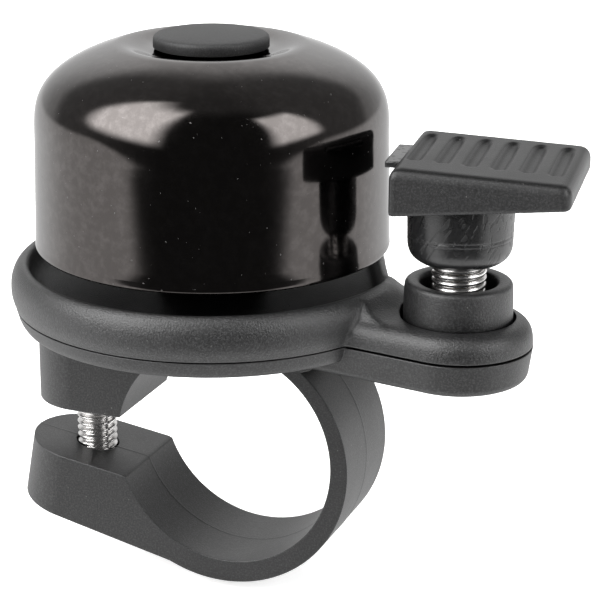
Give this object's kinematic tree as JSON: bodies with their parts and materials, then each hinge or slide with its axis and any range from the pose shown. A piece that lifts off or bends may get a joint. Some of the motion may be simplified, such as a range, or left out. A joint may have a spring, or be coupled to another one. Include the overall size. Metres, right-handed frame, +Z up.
{
  "type": "bicycle bell",
  "caption": "Bicycle bell with a mirror-black dome, a sprung thumb striker on a side ear and a screw-tightened band clamp for a 22.2 mm handlebar.",
  "frame": {"origin": "crown of the clamp's bore, midway along the bar: the point where the bell sits on the handlebar", "axes": "+Z up through the dome, Y along the handlebar, +X towards the striker's ear"},
  "size_m": [0.0575, 0.0388, 0.0532],
  "materials": {
    "shell_plastic": "fine matt moulding, dark grey",
    "stem_plastic": "semi-gloss, black",
    "black_chrome": "mirror-bright black chrome",
    "bright_steel": "bright",
    "brass": "as turned",
    "nylon": "natural, translucent white"
  },
  "bodies": {
    "base": {"base_lower": "shell_plastic", "base_upper": "shell_plastic", "shell_screw_1": "bright_steel", "shell_screw_2": "bright_steel", "shell_screw_3": "bright_steel", "dome": "black_chrome", "cap": "shell_plastic", "crown_washer": "nylon", "centre_screw": "bright_steel", "dome_spacer": "nylon", "centre_insert": "brass", "clamp_nut": "bright_steel"},
    "band": {"clamp_band": "shell_plastic", "clamp_washer": "bright_steel"},
    "screw": {"clamp_screw": "bright_steel"},
    "cup": {"cup": "shell_plastic", "cup_washer": "bright_steel", "lower_peg": "brass", "spring": "bright_steel"},
    "striker": {"stem": "stem_plastic", "lever": "shell_plastic", "striker_tab": "stem_plastic", "upper_peg": "brass"}
  },
  "joints": [
    {"name": "band_close", "type": "hinge", "parent": "base", "child": "band", "pos_m": [0.00762, 0, -0.00202], "axis": [0, 1, 0], "range_deg": [-2.54, 1.7]},
    {"name": "screw_turn", "type": "hinge", "parent": "band", "child": "screw", "pos_m": [-0.0161, 0, -0.0186], "axis": [0, 0, 1], "range_deg": [-540, 360]},
    {"name": "cup_swivel", "type": "hinge", "parent": "base", "child": "cup", "pos_m": [0.02245, -0.00325, 0], "axis": [0, 0, 1], "range_deg": [-25, 8]},
    {"name": "striker_flick", "type": "hinge", "parent": "cup", "child": "striker", "pos_m": [0.02245, -0.00325, 0.00945], "axis": [-0.1236, 0.9923, 0], "range_deg": [-12, 20], "stiffness_Nm_per_rad": 0.004, "deforming": ["spring"]}
  ],
  "couplings": [
    {"joint": "band_close", "follows": "screw_turn", "ratio": 0.0046974}
  ]
}
